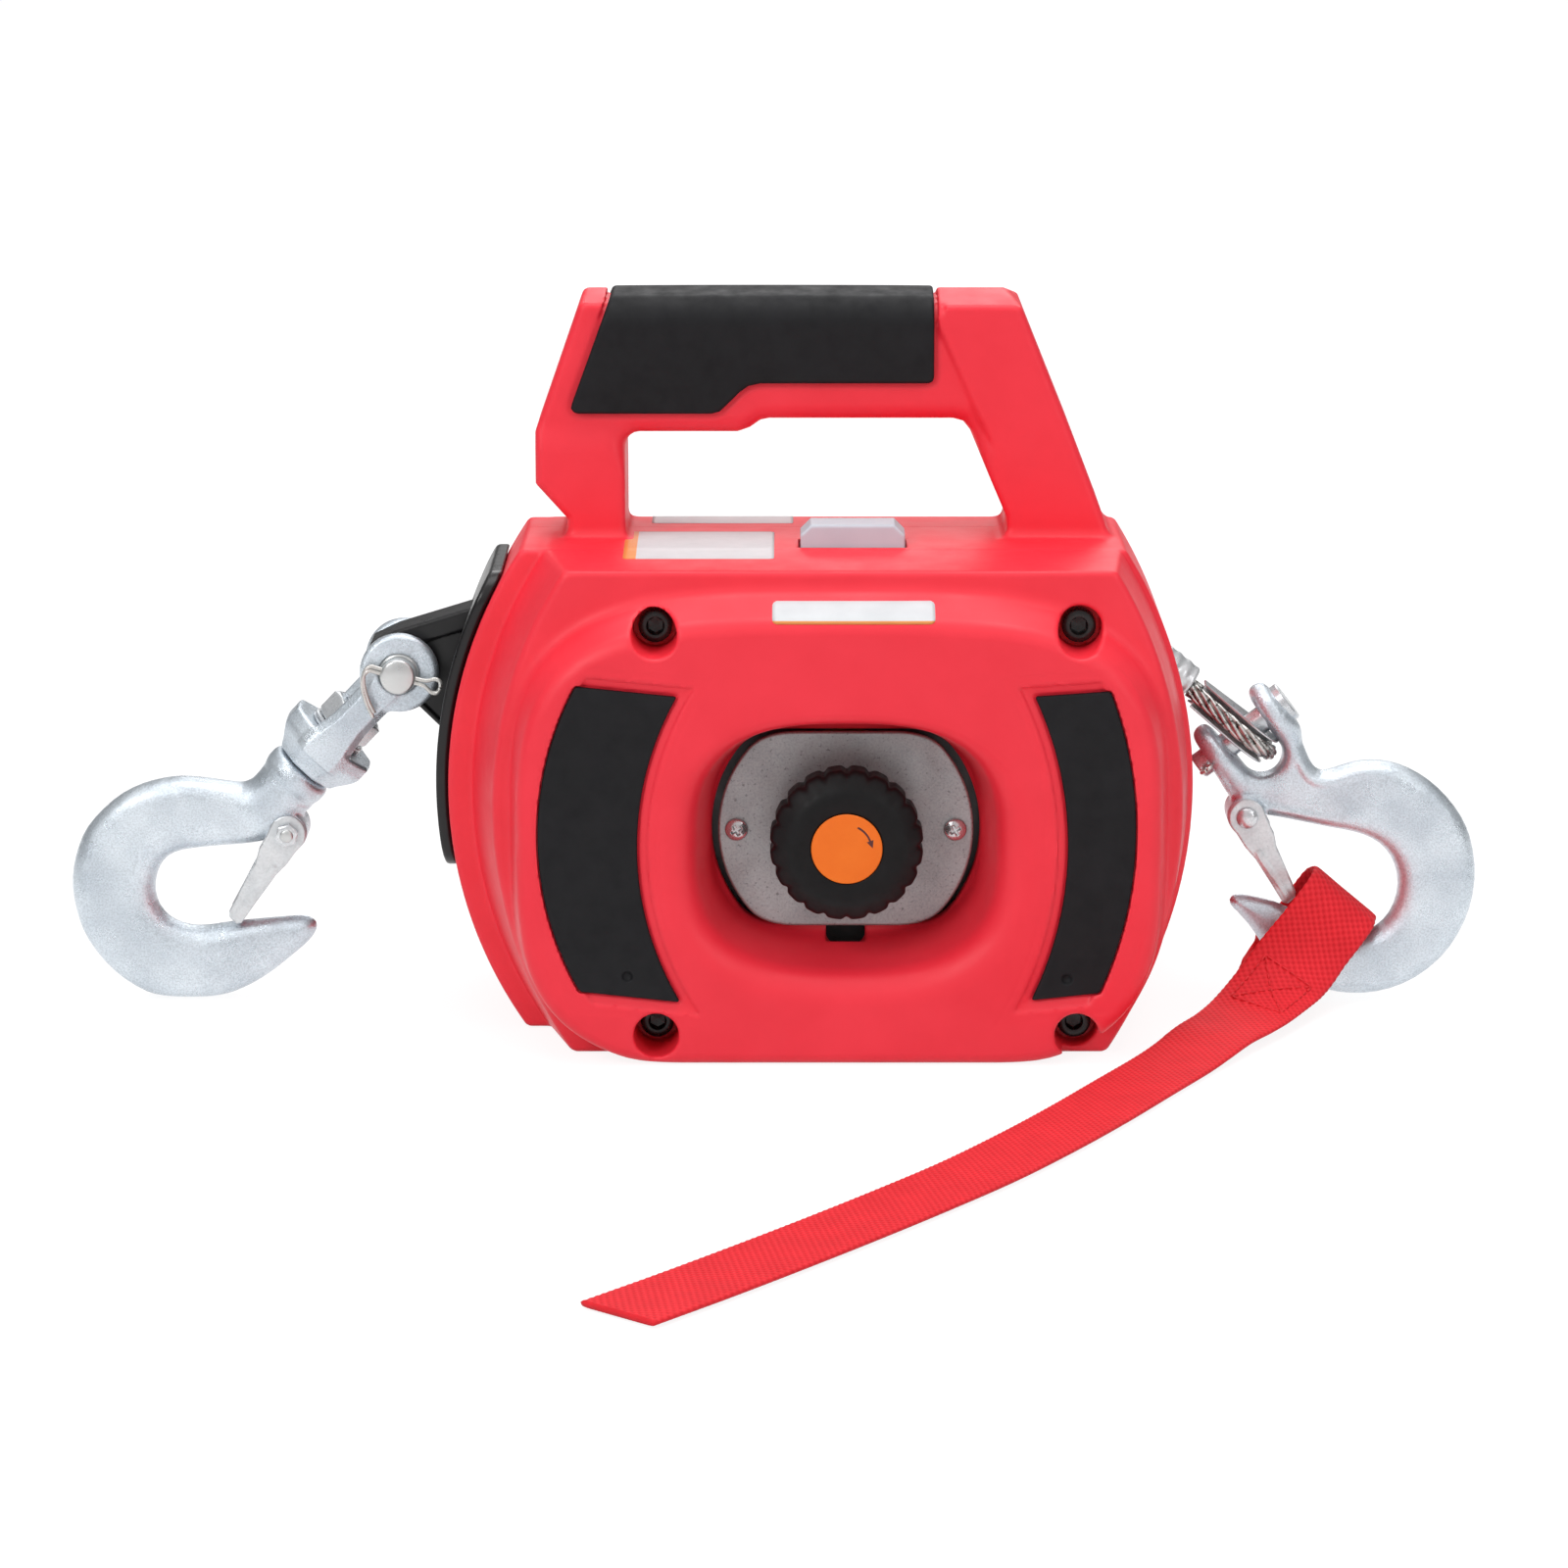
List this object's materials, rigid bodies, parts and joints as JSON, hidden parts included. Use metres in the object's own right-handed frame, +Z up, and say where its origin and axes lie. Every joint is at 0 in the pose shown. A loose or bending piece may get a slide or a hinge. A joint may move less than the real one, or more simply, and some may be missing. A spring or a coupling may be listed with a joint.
{
  "type": "portable drill-driven rope winch",
  "caption": "Portable rope winch driven by a hand drill, with a moulded carry case, pull-out clutch knob, swivel anchor hook, and rope hook with a webbing pull strap.",
  "frame": {"origin": "on the base plane, under the drum axis, on the parting plane of the case", "axes": "+X from the anchor hook to the rope hook, +Y to the drive socket, +Z up; the knob faces -Y"},
  "size_m": [0.4174, 0.3827, 0.2125],
  "materials": {
    "case_red": "moulded red plastic with a fine satin grain",
    "rubber_black": "soft black overmould, matt",
    "galvanised": "galvanised sheet with a speckled spangle",
    "zinc_bright": "bright zinc plate",
    "bolt_black": "black oxide",
    "frame_steel": "plain cut steel",
    "bronze": "sintered bronze",
    "bezel_black": "black moulded plastic, slightly glossy",
    "bracket_black": "black paint over steel",
    "cap_grey": "light grey moulded plastic",
    "machined_steel": "machined steel, lightly oiled",
    "rope_wire": "galvanised wire rope",
    "spring_steel": "dull spring wire",
    "disc_orange": "orange disc",
    "zinc_cast": "forged steel with rough bluish zinc plate",
    "strap_red": "woven polyester webbing"
  },
  "bodies": {
    "frame": {"front_housing": "case_red", "rear_housing": "case_red", "handle_grip_front": "rubber_black", "handle_grip_rear": "rubber_black", "front_pad_left": "rubber_black", "front_pad_right": "rubber_black", "rear_pad_left": "rubber_black", "rear_pad_right": "rubber_black", "cover_plate": "galvanised", "cover_plate_screws": "zinc_bright", "case_screws": "bolt_black", "case_nuts": "bolt_black", "front_frame_plate": "frame_steel", "rear_frame_plate": "frame_steel", "frame_spacers": "frame_steel", "gear_plate": "frame_steel", "gear_plate_spacers": "frame_steel", "front_hub_bush": "bronze", "rear_hub_bush": "bronze", "gear_plate_bushes": "bronze", "fairlead": "frame_steel", "input_bezel": "bezel_black", "anchor_band": "bracket_black", "anchor_lug": "bracket_black", "lug_bolts": "frame_steel", "rope_run": "rope_wire", "thimble": "zinc_cast", "rope_eye": "rope_wire", "rope_ferrule": "zinc_cast", "pull_strap": "strap_red"},
    "drum": {"drum": "machined_steel", "drum_bushes": "bronze", "main_shaft": "machined_steel", "drum_gear": "machined_steel", "wound_rope": "rope_wire"},
    "intermediate": {"intermediate_shaft": "machined_steel", "intermediate_gear": "machined_steel"},
    "input": {"input_shaft": "machined_steel"},
    "clutch": {"clutch_stem": "machined_steel", "clutch_spring": "spring_steel"},
    "dog": {"clutch_dog": "machined_steel"},
    "knob": {"clutch_knob": "bezel_black", "knob_disc": "disc_orange"},
    "bit_store": {"bit_cap": "cap_grey", "drive_bit": "machined_steel"},
    "yoke": {"anchor_yoke": "zinc_cast", "anchor_pin": "zinc_bright", "anchor_cotter": "spring_steel", "swivel_washers": "zinc_bright"},
    "swivel_hook": {"anchor_hook": "zinc_cast", "swivel_nut": "zinc_bright", "anchor_latch_bolt": "zinc_bright", "anchor_latch_spring": "spring_steel"},
    "swivel_hook_latch": {"anchor_latch": "zinc_bright"},
    "end_hook": {"rope_hook": "zinc_cast", "clevis_pin": "zinc_bright", "clevis_cotter": "spring_steel", "rope_latch_rivet": "zinc_bright", "rope_latch_spring": "spring_steel"},
    "end_hook_latch": {"rope_latch": "zinc_bright"}
  },
  "joints": [
    {"name": "drum_spin", "type": "hinge", "parent": "frame", "child": "drum", "pos_m": [0, 0, 0.063], "axis": [0, 1, 0], "continuous": true},
    {"name": "intermediate_spin", "type": "hinge", "parent": "frame", "child": "intermediate", "pos_m": [0.063, 0, 0.063], "axis": [0, 1, 0], "continuous": true},
    {"name": "input_spin", "type": "hinge", "parent": "frame", "child": "input", "pos_m": [0.03889, 0, 0.09173], "axis": [0, 1, 0], "continuous": true},
    {"name": "clutch_pull", "type": "slide", "parent": "frame", "child": "clutch", "axis": [0, -1, 0], "range_m": [0, 0.006], "stiffness_N_per_m": 900, "springref_m": -0.01, "deforming": ["clutch_spring"]},
    {"name": "dog_slide", "type": "slide", "parent": "drum", "child": "dog", "axis": [0, -1, 0], "range_m": [0, 0.006]},
    {"name": "knob_turn", "type": "hinge", "parent": "clutch", "child": "knob", "pos_m": [0, 0, 0.063], "axis": [0, -1, 0], "range_deg": [0, 90]},
    {"name": "bit_cap_lift", "type": "slide", "parent": "frame", "child": "bit_store", "axis": [0, 0, 1], "range_m": [0, 0.03]},
    {"name": "yoke_pivot", "type": "hinge", "parent": "frame", "child": "yoke", "pos_m": [-0.13, 0, 0.101], "axis": [0, 1, 0], "range_deg": [-22, 105]},
    {"name": "hook_swivel", "type": "hinge", "parent": "yoke", "child": "swivel_hook", "pos_m": [-0.13, 0, 0.101], "axis": [-0.6896, 0, -0.7242], "continuous": true},
    {"name": "swivel_latch_open", "type": "hinge", "parent": "swivel_hook", "child": "swivel_hook_latch", "pos_m": [-0.16409, 0, 0.05157], "axis": [0, 1, 0], "range_deg": [0, 32], "stiffness_Nm_per_rad": 0.05, "springref_deg": -17.19},
    {"name": "rope_hook_pivot", "type": "hinge", "parent": "frame", "child": "end_hook", "pos_m": [0.1183, 0, 0.0807], "axis": [0.7891, 0, 0.6143], "range_deg": [-40, 45], "deforming": ["pull_strap"]},
    {"name": "end_latch_open", "type": "hinge", "parent": "end_hook", "child": "end_hook_latch", "pos_m": [0.1187, 0, 0.05642], "axis": [0, -1, 0], "range_deg": [0, 26], "stiffness_Nm_per_rad": 0.05, "springref_deg": -17.19}
  ],
  "couplings": [
    {"joint": "intermediate_spin", "follows": "drum_spin", "ratio": -5},
    {"joint": "input_spin", "follows": "drum_spin", "ratio": 20},
    {"joint": "dog_slide", "follows": "clutch_pull", "ratio": 1}
  ]
}
